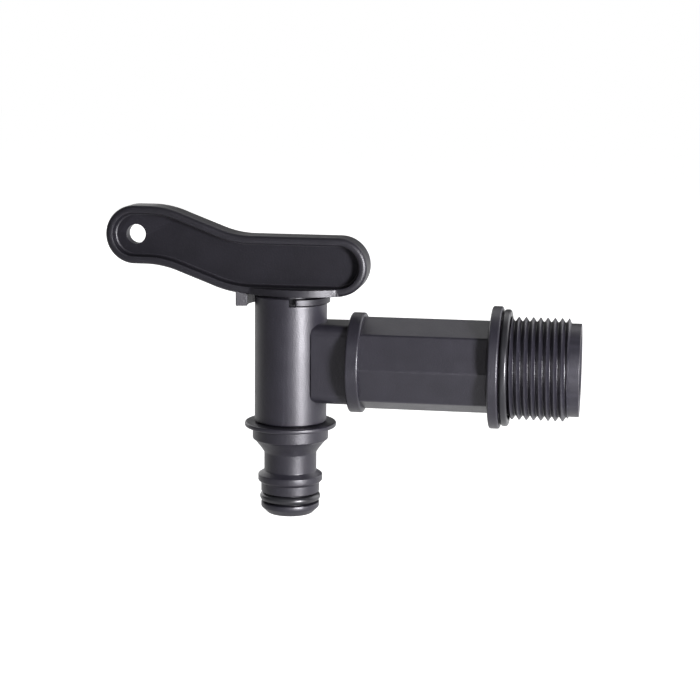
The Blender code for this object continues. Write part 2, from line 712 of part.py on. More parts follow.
def make_nipple(parts, material):
    """The quick-connect nipple, turned in one profile with its spigot, disc, flare, ridge and grooves."""
    level = nipple_levels()
    groove_top = SPIGOT_TOP - SPIGOT_GROOVE_START
    groove_bottom = groove_top - SPIGOT_GROOVE_WIDTH
    profile = [
        (PLUG_BORE_RADIUS, SPIGOT_TOP),
        (PLUG_RADIUS, SPIGOT_TOP),
        (PLUG_RADIUS, groove_top),
        (PLUG_RADIUS - SPIGOT_GROOVE_DEPTH, groove_top),
        (PLUG_RADIUS - SPIGOT_GROOVE_DEPTH, groove_bottom),
        (PLUG_RADIUS, groove_bottom),
        (PLUG_RADIUS, level["disc"]),
    ]
    disc_edge = DISC_RADIUS - DISC_EDGE
    profile += arc(disc_edge, level["disc"] - DISC_EDGE, DISC_EDGE, math.pi / 2, 0.0, EDGE_STEPS)
    profile += arc(disc_edge, level["collar"] + DISC_EDGE, DISC_EDGE, 0.0, -math.pi / 2, EDGE_STEPS)
    profile.append((COLLAR_RADIUS, level["collar"]))
    profile += [
        (
            WAIST_RADIUS + (COLLAR_RADIUS - WAIST_RADIUS) * (1 - i / ARC_STEPS) ** FLARE_HOLLOWNESS,
            level["flare"] - FLARE_HEIGHT * i / ARC_STEPS,
        )
        for i in range(ARC_STEPS + 1)
    ]
    profile += [
        (WAIST_RADIUS, level["ridge"]),
        (RIDGE_RADIUS - RIDGE_CHAMFER, level["ridge"] - RIDGE_SHOULDER),
        (RIDGE_RADIUS, level["ridge"] - RIDGE_SHOULDER - RIDGE_CHAMFER),
        (RIDGE_RADIUS, level["taper"]),
        (LAND_RADIUS, level["land"]),
        (LAND_RADIUS, level["groove"]),
        (OUTLET_GROOVE_RADIUS, level["groove"]),
        (OUTLET_GROOVE_RADIUS, level["tip_land"]),
        (LAND_RADIUS, level["tip_land"]),
        (LAND_RADIUS, level["chamfer"]),
        (TIP_END_RADIUS, level["end"]),
        (PLUG_BORE_RADIUS, level["end"]),
    ]
    nipple = on_tube_axis(turned("outlet_nipple", profile, parts, ring=True))
    finish(nipple, material)
    return nipple


def make_nipple_rings(parts, material):
    """The seal between nipple and body, and the seal that a hose connector closes on."""
    groove_floor = PLUG_RADIUS - SPIGOT_GROOVE_DEPTH
    section = (CHAMBER_RADIUS - groove_floor) / 2 - SEAL_GAP
    inner_ring = round_ring("nipple_oring", (CHAMBER_RADIUS + groove_floor) / 2, section, parts)
    on_tube_axis(inner_ring)
    inner_ring.location.z = SPIGOT_TOP - SPIGOT_GROOVE_START - SPIGOT_GROOVE_WIDTH / 2
    finish(inner_ring, material)

    level = nipple_levels()
    section = OUTLET_RING_SECTION
    outer_ring = round_ring("outlet_oring", OUTLET_GROOVE_RADIUS + SEAL_GAP + section, section, parts)
    on_tube_axis(outer_ring)
    outer_ring.location.z = level["groove"] - OUTLET_GROOVE_WIDTH / 2
    finish(outer_ring, material)


def build_tap():
    clear_scene()
    parts = make_collection("ibc_tank_valve")
    cutters = make_collection("cutters")
    body_plastic = make_material("body_plastic", BODY_GREY, 0.42)
    lever_plastic = make_material("lever_plastic", LEVER_BLACK, 0.3)
    plug_plastic = make_material("plug_plastic", PLUG_GREY, 0.4)
    rubber = make_material("rubber", RUBBER_BLACK, 0.5)

    make_body(parts, cutters, body_plastic)
    make_washer(parts, rubber)
    make_plug(parts, cutters, plug_plastic)
    make_plug_rings(parts, rubber)
    make_seat_seal(parts, cutters, rubber)
    make_lever(parts, cutters, lever_plastic)
    make_nipple(parts, body_plastic)
    make_nipple_rings(parts, rubber)


build_tap()
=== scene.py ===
"""A lever tap for a liquid tank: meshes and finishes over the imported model, lights and camera."""

import math

import bmesh
import bpy
from mathutils import Matrix, Vector


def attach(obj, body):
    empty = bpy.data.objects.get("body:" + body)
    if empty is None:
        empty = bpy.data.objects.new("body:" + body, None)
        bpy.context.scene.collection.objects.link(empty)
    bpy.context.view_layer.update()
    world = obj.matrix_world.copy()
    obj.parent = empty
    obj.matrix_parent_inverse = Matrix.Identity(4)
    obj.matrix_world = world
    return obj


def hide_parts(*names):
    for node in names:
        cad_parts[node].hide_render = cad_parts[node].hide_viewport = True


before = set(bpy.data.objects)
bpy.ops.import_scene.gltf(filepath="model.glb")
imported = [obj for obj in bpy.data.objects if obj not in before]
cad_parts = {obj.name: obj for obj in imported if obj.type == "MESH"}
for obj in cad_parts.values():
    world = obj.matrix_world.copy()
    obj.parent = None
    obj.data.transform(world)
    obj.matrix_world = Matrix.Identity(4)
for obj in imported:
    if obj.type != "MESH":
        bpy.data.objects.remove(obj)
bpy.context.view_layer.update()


# Body: one injection moulding in glass-filled polypropylene, with the upright tube, the eight-sided
# inlet arm between two flanges, and the male pipe thread. The mould's pins core out the bores, and
# its spark-eroded walls leave a fine matt grain.

# In metres: the arm lies along X with the seat flange's face at 0, and the tube along Z at TUBE_X.
TUBE_X = -0.0521
TUBE_RADIUS = 0.0089
TUBE_TOP = 0.0162
TUBE_FOOT = -0.0151
TUBE_EDGE = 0.0003
CHAMBER_RADIUS = 0.0071
SHOULDER_BOTTOM = 0.0121
SHOULDER_TOP = 0.0131
STEM_HOLE_RADIUS = 0.0037
NOTCH_FLOOR = 0.0143
NOTCH_ANGLES = (math.radians(-82.5), math.radians(109.5))
NECK_START = TUBE_X + 0.0063
NECK_HALF_HEIGHT = 0.0098
NECK_HALF_WIDTHS = (0.0069, 0.0073)
NECK_CORNER = 0.0029
# The flanges: start and end along the arm, and radius.
FIRST_FLANGE = (TUBE_X + 0.0153, TUBE_X + 0.0185, 0.0123)
SEAT_FLANGE = (-0.0025, 0.0, 0.0149)
FLANGE_EDGE = 0.00045
OCTAGON_RADIUS = 0.0115
OCTAGON_EDGE = 0.0004
SEAT_FILLET = 0.0004
THREAD_PITCH = 0.00174
THREAD_CREST = 0.0125
THREAD_ROOT = 0.01145
UNDERCUT_RADIUS = 0.01145
UNDERCUT_END = 0.00215
THREAD_START = 0.0017
THREAD_SINK = 0.0003
# Shares of half a pitch that the flat crest and the sloping flank take.
CREST_SHARE = 0.09
FLANK_SHARE = 0.80
RUN_IN_SLOPE = 2.2
THREAD_STOP = 0.0167
NOSE_RADIUS = 0.0113
NOSE_EDGE = 0.00015
CORE_DEPTH = 0.0006
CORE_STEP = 0.0004
INLET_END = 0.019
BORE_RADIUS = 0.0095
BORE_CHAMFER = 0.0003
BORE_FLOOR = TUBE_X + 0.0175
THROAT_RADIUS = 0.0057
THROAT_MOUTH = TUBE_X + 0.017
THROAT_FLOOR = TUBE_X + 0.0112
PORT_RADIUS = 0.0045
SEAL_POCKET_RADIUS = 0.0062
SEAL_POCKET_FLOOR = TUBE_X + 0.0096
# How far joined shapes reach into each other, and cutters past what they cut.
OVERLAP = 0.001
OVERRUN = 0.002
ROUND_STEPS = 144
SECTOR_STEP = math.radians(3.0)


def new_piece(name, mesh):
    piece = bpy.data.objects.new(name, mesh)
    bpy.context.scene.collection.objects.link(piece)
    return piece


def corner(centre_radius, centre_height, size, start, end, steps=6):
    """Points of a rounded corner in a turned profile; 0 points outward and 90 degrees up."""
    turns = [math.radians(start + (end - start) * i / steps) for i in range(steps + 1)]
    return [(centre_radius + size * math.cos(t), centre_height + size * math.sin(t)) for t in turns]


def turn_profile(name, profile, axis="Z", closed=False, steps=ROUND_STEPS):
    """Turn (radius, height) points about Z, or about X where the height runs along +X."""
    mesh = bpy.data.meshes.new(name)
    shape = bmesh.new()
    rings = []
    for radius, height in profile:
        ring = []
        for i in range(1 if radius == 0.0 else steps):
            angle = math.tau * i / steps
            side, rise = radius * math.cos(angle), radius * math.sin(angle)
            place = (side, rise, height) if axis == "Z" else (height, side, rise)
            ring.append(shape.verts.new(place))
        rings.append(ring)
    pairs = list(zip(rings, rings[1:]))
    if closed:
        pairs.append((rings[-1], rings[0]))
    for upper, lower in pairs:
        for i in range(steps):
            j = (i + 1) % steps
            if len(upper) == 1:
                shape.faces.new((upper[0], lower[i], lower[j]))
            elif len(lower) == 1:
                shape.faces.new((upper[j], upper[i], lower[0]))
            else:
                shape.faces.new((upper[j], upper[i], lower[i], lower[j]))
    bmesh.ops.recalc_face_normals(shape, faces=shape.faces)
    shape.to_mesh(mesh)
    shape.free()
    return new_piece(name, mesh)


def ring_sector(name, inner, outer, start, end, bottom, top, softness=0.0):
    """A block cut from a thick ring about the tube axis, between two angles from +X."""
    mesh = bpy.data.meshes.new(name)
    shape = bmesh.new()
    steps = max(4, round((end - start) / SECTOR_STEP))
    angles = [start + (end - start) * i / steps for i in range(steps + 1)]
    outline = [(outer, a) for a in angles] + [(inner, a) for a in reversed(angles)]
    floor = [shape.verts.new((TUBE_X + r * math.cos(a), r * math.sin(a), bottom)) for r, a in outline]
    roof = [shape.verts.new((TUBE_X + r * math.cos(a), r * math.sin(a), top)) for r, a in outline]
    shape.faces.new(list(reversed(floor)))
    shape.faces.new(roof)
    for i in range(len(outline)):
        j = (i + 1) % len(outline)
        shape.faces.new((floor[i], floor[j], roof[j], roof[i]))
    bmesh.ops.recalc_face_normals(shape, faces=shape.faces)
    shape.to_mesh(mesh)
    shape.free()
    block = new_piece(name, mesh)
    if softness:
        round_edges(block, softness)
    return block


def round_edges(piece, width, segments=3):
    bevel = piece.modifiers.new("round edges", "BEVEL")
    bevel.width = width
    bevel.segments = segments
    bevel.limit_method = "ANGLE"
    bevel.angle_limit = math.radians(30.0)


def join_or_cut(piece, other, operation):
    """Join another shape to a piece, or cut it away, and drop the other shape."""
    boolean = piece.modifiers.new(other.name, "BOOLEAN")
    boolean.operation = operation
    boolean.solver = "MANIFOLD"
    boolean.object = other
    bpy.context.view_layer.update()
    mesh = bpy.data.meshes.new_from_object(
        piece.evaluated_get(bpy.context.evaluated_depsgraph_get())
    )
    piece.modifiers.clear()
    piece.data = mesh
    bpy.data.objects.remove(other, do_unlink=True)


def shade(piece, material, sharp=28.0):
    piece.data.materials.clear()
    piece.data.materials.append(material)
    piece.data.shade_smooth()
    piece.data.set_sharp_from_angle(angle=math.radians(sharp))
    even = piece.modifiers.new("even shading", "WEIGHTED_NORMAL")
    even.keep_sharp = True
    even.weight = 60


def on_tube_axis(piece):
    piece.data.transform(Matrix.Translation((TUBE_X, 0.0, 0.0)))
    return piece


def threaded_spigot():
    """The thread as one closed helical skin, whose rows of points follow the helix to the nose."""
    rows_per_pitch = 12
    core = NOSE_RADIUS - THREAD_SINK
    first = SEAT_FLANGE[0] + 2 * THREAD_SINK
    rows = math.ceil((THREAD_STOP - first) / THREAD_PITCH * rows_per_pitch)

    def radius_at(x, angle):
        phase = ((x - THREAD_START) / THREAD_PITCH - angle / math.tau) % 1.0
        slope = abs(2.0 * min(phase, 1.0 - phase))
        flank = min(1.0, max(0.0, (slope - CREST_SHARE) / FLANK_SHARE))
        radius = THREAD_CREST - (THREAD_CREST - THREAD_ROOT) * flank
        run_in = core + (x - THREAD_START) * RUN_IN_SLOPE
        run_out = core + (THREAD_STOP - x) * RUN_IN_SLOPE
        return max(core, min(radius, run_in, run_out))

    mesh = bpy.data.meshes.new("threaded_spigot")
    shape = bmesh.new()
    grid = []
    for row in range(rows + 1):
        line = []
        for i in range(ROUND_STEPS):
            angle = math.tau * i / ROUND_STEPS
            x = first + THREAD_PITCH * (row / rows_per_pitch + i / ROUND_STEPS)
            radius = radius_at(x, angle)
            line.append(shape.verts.new((x, radius * math.cos(angle), radius * math.sin(angle))))
        grid.append(line)
    for row in range(rows_per_pitch):
        x = first + THREAD_PITCH * ((rows + 1 + row) / rows_per_pitch)
        grid.append([shape.verts.new((x, core, 0.0))])
    for row in range(rows):
        low = grid[row]
        high = grid[row + 1]
        for i in range(ROUND_STEPS - 1):
            shape.faces.new((low[i], low[i + 1], high[i + 1], high[i]))
        low_start = grid[row + rows_per_pitch][0]
        high_start = grid[row + 1 + rows_per_pitch][0]
        shape.faces.new((low[-1], low_start, high_start, high[-1]))
    # The two ends are fans to the axis, hidden in the seat flange and in the nose.
    last = first + THREAD_PITCH * rows / rows_per_pitch
    for end_row, centre_x in ((0, first), (rows, last)):
        loop = grid[end_row] + [grid[end_row + step][0] for step in range(rows_per_pitch, 0, -1)]
        centre = shape.verts.new((centre_x, 0.0, 0.0))
        for i in range(len(loop)):
            shape.faces.new((loop[i], loop[(i + 1) % len(loop)], centre))
    bmesh.ops.recalc_face_normals(shape, faces=shape.faces)
    shape.to_mesh(mesh)
    shape.free()
    return new_piece("threaded_spigot", mesh)


def flange_rim(start, end, radius):
    edge = FLANGE_EDGE
    far_corner = corner(radius - edge, end - edge, edge, 90, 0)
    return far_corner + corner(radius - edge, start + edge, edge, 0, -90)


body = on_tube_axis(
    turn_profile(
        "tap_moulding",
        [(0.0, TUBE_TOP)]
        + corner(TUBE_RADIUS - TUBE_EDGE, TUBE_TOP - TUBE_EDGE, TUBE_EDGE, 90, 0, 3)
        + corner(TUBE_RADIUS - TUBE_EDGE, TUBE_FOOT + TUBE_EDGE, TUBE_EDGE, 0, -90, 3)
        + [(0.0, TUBE_FOOT)],
    )
)
arm_core = OCTAGON_RADIUS * math.cos(math.pi / 8) - OCTAGON_EDGE
thread_core = NOSE_RADIUS - CORE_DEPTH
arm = turn_profile(
    "inlet_arm",
    [(0.0, INLET_END)]
    + corner(NOSE_RADIUS - NOSE_EDGE, INLET_END - NOSE_EDGE, NOSE_EDGE, 90, 0, 4)
    + [(NOSE_RADIUS, THREAD_STOP - CORE_STEP), (thread_core, THREAD_STOP - 2 * CORE_STEP)]
    + [(thread_core, UNDERCUT_END + CORE_STEP)]
    + [(UNDERCUT_RADIUS, UNDERCUT_END), (UNDERCUT_RADIUS, 0.0)]
    + flange_rim(*SEAT_FLANGE)
    + corner(OCTAGON_RADIUS + SEAT_FILLET, SEAT_FLANGE[0] - SEAT_FILLET, SEAT_FILLET, 90, 180)
    + [(arm_core, SEAT_FLANGE[0] - 2 * SEAT_FILLET), (arm_core, FIRST_FLANGE[1])]
    + flange_rim(*FIRST_FLANGE)
    + [(0.0, FIRST_FLANGE[0])],
    axis="X",
)


def neck_block():
    """The tall narrow neck between tube and flange, with rounded corners and a little draft."""
    mesh = bpy.data.meshes.new("neck")
    shape = bmesh.new()
    rings = []
    corner_height = NECK_HALF_HEIGHT - NECK_CORNER
    for x, half_width in zip((NECK_START, FIRST_FLANGE[0] + OVERLAP), NECK_HALF_WIDTHS):
        quarter = corner(half_width - NECK_CORNER, corner_height, NECK_CORNER, 0, 90, 10)
        half = quarter + [(-y, z) for y, z in reversed(quarter)]
        outline = half + [(-y, -z) for y, z in half]
        rings.append([shape.verts.new((x, y, z)) for y, z in outline])
    near, far = rings
    for i in range(len(near)):
        j = (i + 1) % len(near)
        shape.faces.new((near[i], near[j], far[j], far[i]))
    shape.faces.new(near)
    shape.faces.new(far)
    bmesh.ops.recalc_face_normals(shape, faces=shape.faces)
    shape.to_mesh(mesh)
    shape.free()
    return new_piece("neck", mesh)


octagon = turn_profile(
    "eight-sided_grip",
    [(0.0, SEAT_FLANGE[0] + OVERLAP), (OCTAGON_RADIUS, SEAT_FLANGE[0] + OVERLAP)]
    + [(OCTAGON_RADIUS, FIRST_FLANGE[1] - OVERLAP), (0.0, FIRST_FLANGE[1] - OVERLAP)],
    axis="X",
    steps=8,
)
round_edges(octagon, OCTAGON_EDGE)
join_or_cut(body, neck_block(), "UNION")
join_or_cut(body, arm, "UNION")
join_or_cut(body, octagon, "UNION")
join_or_cut(body, threaded_spigot(), "UNION")

waterway = turn_profile(
    "waterway",
    [(0.0, INLET_END + OVERRUN), (BORE_RADIUS + BORE_CHAMFER + OVERRUN, INLET_END + OVERRUN)]
    + [(BORE_RADIUS, INLET_END - BORE_CHAMFER), (BORE_RADIUS, BORE_FLOOR)]
    + [(THROAT_RADIUS, THROAT_MOUTH), (THROAT_RADIUS, THROAT_FLOOR)]
    + [(PORT_RADIUS, THROAT_FLOOR), (PORT_RADIUS, SEAL_POCKET_FLOOR)]
    + [(SEAL_POCKET_RADIUS, SEAL_POCKET_FLOOR), (SEAL_POCKET_RADIUS, TUBE_X), (0.0, TUBE_X)],
    axis="X",
)
above = TUBE_TOP + OVERRUN
below = TUBE_FOOT - OVERRUN
chamber = on_tube_axis(
    turn_profile(
        "plug_chamber",
        [(0.0, above), (CHAMBER_RADIUS, above), (CHAMBER_RADIUS, SHOULDER_TOP)]
        + [(STEM_HOLE_RADIUS, SHOULDER_TOP), (STEM_HOLE_RADIUS, SHOULDER_BOTTOM)]
        + [(CHAMBER_RADIUS, SHOULDER_BOTTOM), (CHAMBER_RADIUS, below), (0.0, below)],
    )
)
notch = ring_sector(
    "stop_notch", CHAMBER_RADIUS - OVERLAP, TUBE_RADIUS + OVERRUN, *NOTCH_ANGLES, NOTCH_FLOOR, above
)
join_or_cut(body, waterway, "DIFFERENCE")
join_or_cut(body, chamber, "DIFFERENCE")
join_or_cut(body, notch, "DIFFERENCE")

BODY_GREY = (0.0115, 0.0106, 0.0160)


def moulded_plastic(name, colour, roughness, grain, grain_depth, seed=0.0, shine_level=0.8):
    """Moulded plastic: pigment clouds, a painted highlight on sharp outer edges, smears that vary the gloss,
    and a fine grain.
    """
    material = bpy.data.materials.new(name)
    material.use_nodes = True
    nodes, links = material.node_tree.nodes, material.node_tree.links
    surface = nodes["Principled BSDF"]
    place = nodes.new("ShaderNodeTexCoord")
    shift = nodes.new("ShaderNodeMapping")
    shift.inputs["Location"].default_value = (seed, seed * 0.7, -seed)
    links.new(place.outputs["Object"], shift.inputs["Vector"])

    clouds = nodes.new("ShaderNodeTexNoise")
    clouds.inputs["Scale"].default_value = 130.0
    clouds.inputs["Detail"].default_value = 5.0
    links.new(shift.outputs["Vector"], clouds.inputs["Vector"])
    pigment = nodes.new("ShaderNodeValToRGB")
    pigment.color_ramp.elements[0].position = 0.32
    pigment.color_ramp.elements[0].color = (*[c * 0.86 for c in colour], 1.0)
    pigment.color_ramp.elements[1].position = 0.70
    pigment.color_ramp.elements[1].color = (*[c * 1.12 for c in colour], 1.0)
    links.new(clouds.outputs["Fac"], pigment.inputs["Fac"])

    # Painted highlight: sharp outer edges are lightened, as if they caught the light.
    edge_sharpness = nodes.new("ShaderNodeNewGeometry")
    edges = nodes.new("ShaderNodeValToRGB")
    edges.color_ramp.elements[0].position = 0.505
    edges.color_ramp.elements[0].color = (0.0, 0.0, 0.0, 1.0)
    edges.color_ramp.elements[1].position = 0.60
    edges.color_ramp.elements[1].color = (0.35, 0.35, 0.35, 1.0)
    links.new(edge_sharpness.outputs["Pointiness"], edges.inputs["Fac"])
    edge_highlight = nodes.new("ShaderNodeMix")
    edge_highlight.data_type = "RGBA"
    edge_highlight.inputs["B"].default_value = (*[c * 1.8 + 0.004 for c in colour], 1.0)
    links.new(edges.outputs["Color"], edge_highlight.inputs["Factor"])
    links.new(pigment.outputs["Color"], edge_highlight.inputs["A"])
    links.new(edge_highlight.outputs["Result"], surface.inputs["Base Color"])

    smears = nodes.new("ShaderNodeTexNoise")
    smears.inputs["Scale"].default_value = 260.0
    smears.inputs["Detail"].default_value = 3.0
    links.new(shift.outputs["Vector"], smears.inputs["Vector"])
    shine = nodes.new("ShaderNodeMapRange")
    shine.inputs["To Min"].default_value = roughness - 0.05
    shine.inputs["To Max"].default_value = roughness + 0.07
    links.new(smears.outputs["Fac"], shine.inputs["Value"])
    links.new(shine.outputs["Result"], surface.inputs["Roughness"])

    fine = nodes.new("ShaderNodeTexNoise")
    fine.inputs["Scale"].default_value = grain
    fine.inputs["Detail"].default_value = 2.0
    links.new(shift.outputs["Vector"], fine.inputs["Vector"])
    relief = nodes.new("ShaderNodeBump")
    relief.inputs["Strength"].default_value = 0.6
    relief.inputs["Distance"].default_value = grain_depth
    links.new(fine.outputs["Fac"], relief.inputs["Height"])
    links.new(relief.outputs["Normal"], surface.inputs["Normal"])
    surface.inputs["IOR"].default_value = 1.49
    surface.inputs["Specular IOR Level"].default_value = shine_level
    surface.inputs["Specular Tint"].default_value = (0.96, 0.94, 1.0, 1.0)
    return material


body_plastic = moulded_plastic("body plastic", BODY_GREY, roughness=0.39, grain=3000.0, grain_depth=0.00007)
shade(body, body_plastic)
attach(body, "tap_body")
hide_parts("body")


# Inlet washer: a flat ring of black rubber, slipped on over the thread against the seat flange. Its
# outer edges are moulded round, and it is smoother and glossier than the plastic beside it.
RUBBER_BLACK = (0.012, 0.012, 0.014)
WASHER_START = 0.0003
WASHER_END = 0.0021
WASHER_INNER = 0.0126
WASHER_OUTER = 0.0142
WASHER_EDGE = 0.00065
WASHER_HOLE_EDGE = 0.0001

washer = turn_profile(
    "rubber_inlet_washer",
    [(WASHER_INNER + WASHER_HOLE_EDGE, WASHER_END)]
    + corner(WASHER_OUTER - WASHER_EDGE, WASHER_END - WASHER_EDGE, WASHER_EDGE, 90, 0)
    + corner(WASHER_OUTER - WASHER_EDGE, WASHER_START + WASHER_EDGE, WASHER_EDGE, 0, -90)
    + [(WASHER_INNER + WASHER_HOLE_EDGE, WASHER_START)]
    + [(WASHER_INNER, WASHER_START + WASHER_HOLE_EDGE), (WASHER_INNER, WASHER_END - WASHER_HOLE_EDGE)],
    axis="X",
    closed=True,
)
black_rubber = moulded_plastic(
    "black rubber", RUBBER_BLACK, roughness=0.30, grain=1500.0, grain_depth=0.00001, seed=3.0
)
shade(washer, black_rubber)
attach(washer, "tap_body")
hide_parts("inlet_washer")


# Plug and seals: the plug turns inside the tube and shows through the inlet bore. It is moulded in a
# slippery grey plastic. Two rubber rings and a rubber sleeve at its port seal it, and a third ring
# seals the nipple in the tube's foot.
PLUG_GREY = (0.062, 0.063, 0.068)
SEAL_BLACK = (0.014, 0.014, 0.015)
plug_plastic = moulded_plastic(
    "plug plastic", PLUG_GREY, roughness=0.34, grain=1800.0, grain_depth=0.00001, seed=5.0
)
seal_rubber = moulded_plastic(
    "seal rubber", SEAL_BLACK, roughness=0.38, grain=1500.0, grain_depth=0.00001, seed=7.0
)
for node, finish in (
    ("plug", plug_plastic),
    ("plug_oring_upper", seal_rubber),
    ("plug_oring_lower", seal_rubber),
    ("seat_seal", seal_rubber),
    ("nipple_oring", seal_rubber),
):
    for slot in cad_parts[node].material_slots:
        slot.material = finish


# Outlet nipple: a moulding of its own in the body's plastic, pushed up into the tube's foot. The disc
# stops a hose connector, whose claws snap behind the ridge, and the chamfered tip spreads them.
NIPPLE_BORE = 0.0044
SPIGOT_RADIUS = 0.0068
SPIGOT_TOP = -0.01055
NIPPLE_EDGE = 0.0002
# Each groove, the disc and the ridge: top, foot and radius.
SPIGOT_GROOVE = (-0.01155, -0.01335, 0.0054)
DISC = (-0.0154, -0.01655, 0.01135)
DISC_EDGE = 0.0004
COLLAR_RADIUS = 0.0094
COLLAR_FOOT = -0.0197
COLLAR_EDGE = 0.0003
FLARE_HOLLOWNESS = 1.2
FLARE_STEPS = 10
WAIST_RADIUS = 0.0065
WAIST_TOP = -0.0232
WAIST_FOOT = -0.0279
WAIST_FILLET = 0.0003
RIDGE = (-0.02855, -0.03035, 0.0080)
RIDGE_TOP_EDGE = 0.00035
RIDGE_FOOT_EDGE = 0.0003
LAND_RADIUS = 0.00725
LAND_TOP = -0.03085
LAND_EDGE = 0.00012
RING_GROOVE = (-0.03305, -0.03575, 0.0055)
TIP_CHAMFER = -0.03695
TIP_CHAMFER_BREAK = 0.0001
TIP_END = -0.03845
TIP_RADIUS = 0.0058

flare_drop = COLLAR_FOOT - WAIST_TOP
flare_reach = COLLAR_RADIUS - COLLAR_EDGE - WAIST_RADIUS
flare = []
for flare_step in range(1, FLARE_STEPS + 1):
    share = flare_step / FLARE_STEPS
    flare_radius = WAIST_RADIUS + flare_reach * (1.0 - share) ** FLARE_HOLLOWNESS
    flare.append((flare_radius, COLLAR_FOOT - flare_drop * share))
nipple = on_tube_axis(
    turn_profile(
        "outlet_nipple",
        [(NIPPLE_BORE, SPIGOT_TOP), (SPIGOT_RADIUS - NIPPLE_EDGE, SPIGOT_TOP)]
        + [(SPIGOT_RADIUS, SPIGOT_TOP - NIPPLE_EDGE)]
        + [(SPIGOT_RADIUS, SPIGOT_GROOVE[0]), (SPIGOT_GROOVE[2], SPIGOT_GROOVE[0])]
        + [(SPIGOT_GROOVE[2], SPIGOT_GROOVE[1]), (SPIGOT_RADIUS, SPIGOT_GROOVE[1]), (SPIGOT_RADIUS, DISC[0])]
        + corner(DISC[2] - DISC_EDGE, DISC[0] - DISC_EDGE, DISC_EDGE, 90, 0)
        + corner(DISC[2] - DISC_EDGE, DISC[1] + DISC_EDGE, DISC_EDGE, 0, -90)
        + corner(COLLAR_RADIUS + NIPPLE_EDGE, DISC[1] - NIPPLE_EDGE, NIPPLE_EDGE, 90, 180, 3)
        + corner(COLLAR_RADIUS - COLLAR_EDGE, COLLAR_FOOT + COLLAR_EDGE, COLLAR_EDGE, 0, -80, 4)
        + flare
        + corner(WAIST_RADIUS + WAIST_FILLET, WAIST_FOOT + WAIST_FILLET, WAIST_FILLET, 180, 230, 3)
        + corner(RIDGE[2] - RIDGE_TOP_EDGE, RIDGE[0] - RIDGE_TOP_EDGE, RIDGE_TOP_EDGE, 50, 0, 3)
        + corner(RIDGE[2] - RIDGE_FOOT_EDGE, RIDGE[1] + RIDGE_FOOT_EDGE, RIDGE_FOOT_EDGE, 0, -45, 3)
        + [(LAND_RADIUS, LAND_TOP)]
        + corner(LAND_RADIUS - LAND_EDGE, RING_GROOVE[0] + LAND_EDGE, LAND_EDGE, 0, -90, 2)
        + [(RING_GROOVE[2], RING_GROOVE[0]), (RING_GROOVE[2], RING_GROOVE[1])]
        + corner(LAND_RADIUS - LAND_EDGE, RING_GROOVE[1] - LAND_EDGE, LAND_EDGE, 90, 0, 2)
        + [(LAND_RADIUS, TIP_CHAMFER + NIPPLE_EDGE)]
        + [(LAND_RADIUS - LAND_EDGE, TIP_CHAMFER - TIP_CHAMFER_BREAK)]
        + corner(TIP_RADIUS - NIPPLE_EDGE, TIP_END + NIPPLE_EDGE, NIPPLE_EDGE, -30, -90, 3)
        + [(NIPPLE_BORE + NIPPLE_EDGE, TIP_END), (NIPPLE_BORE, TIP_END + NIPPLE_EDGE)],
        closed=True,
    )
)
shade(nipple, body_plastic)
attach(nipple, "tap_body")
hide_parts("outlet_nipple")


# Outlet ring: black rubber of round section, stretched into the groove above the nipple's tip. It
# stands a little proud of the land, where the hose connector closes on it.
OUTLET_RING_SECTION = 0.00095
OUTLET_RING_HEIGHT = -0.0344
OUTLET_RING_CLEARANCE = 0.00015
OUTLET_RING_CENTRE = RING_GROOVE[2] + OUTLET_RING_CLEARANCE + OUTLET_RING_SECTION

outlet_ring = on_tube_axis(
    turn_profile(
        "outlet_ring",
        corner(OUTLET_RING_CENTRE, OUTLET_RING_HEIGHT, OUTLET_RING_SECTION, 90, -252, 19),
        closed=True,
    )
)
shade(outlet_ring, black_rubber, sharp=60.0)
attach(outlet_ring, "tap_body")
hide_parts("outlet_oring")


# Lever: one S-shaped moulding in near-black polypropylene, with a rounded rim round a thin web on
# both faces. Its foot spreads over the tube, and under that are the hub that turns the plug, a stop
# lug and a skirt.
LEVER_BOTTOM = 0.0165
LEVER_HALF_WIDTH = 0.0072
LEVER_WAIST = 0.00035
LEVER_HALF_THICKNESS = 0.004
WEB_HALF_THICKNESS = 0.0015
TIP_REACH = 0.0387
HEEL_REACH = 0.0121
LEVER_RISE = 0.00665
TIP_FLAT = 0.0043
TIP_BEND = 0.016
HEEL_BEND = 0.020
LEVER_SLOPE = math.radians(20.5)
INNER_BEND = 0.0042
BEND_STEPS = 14
RIM_WIDTH = 0.0019
RIM_ROUNDING = 0.0011
RIM_STEPS = 8
# The rim's wall: its foot, inward from the wall and up from the web, then its soft top edge.
RIM_FOOT = ((0.00060, 0.0), (0.00036, 0.00008), (0.00018, 0.00025), (0.00010, 0.00050))
RIM_LIP = ((0.0, 0.00030), (0.00009, 0.00009), (0.00030, 0.0))
WEB_FACING = 0.999
WEB_TOLERANCE = 0.00002
TIP_HOLE_RADIUS = 0.0024
TIP_HOLE_EDGE = 0.0001
BASE_HALF_WIDTH = 0.0075
BASE_ARC_RADIUS = 0.0175
BASE_OFFSET = 0.0012
BASE_HEIGHT = 0.00175
BASE_FILLET = 0.0015
BASE_EDGE = 0.0003
HUB_RADIUS = 0.0068
HUB_BOTTOM = 0.0134
HUB_OVERLAP = 0.0006
# The lug and the skirt: inner and outer radius, first and last angle, bottom and top.
LUG = (0.0061, 0.00965, math.radians(-72.5), math.radians(17.5), 0.0146, 0.0161)
SKIRT = (0.0107, 0.0136, math.radians(150.0), math.radians(196.0), 0.0135, 0.0174)
LUG_EDGE = 0.00015
SKIRT_EDGE = 0.0002
SOCKET_SIDE = 0.0056
SOCKET_TOP = 0.0177


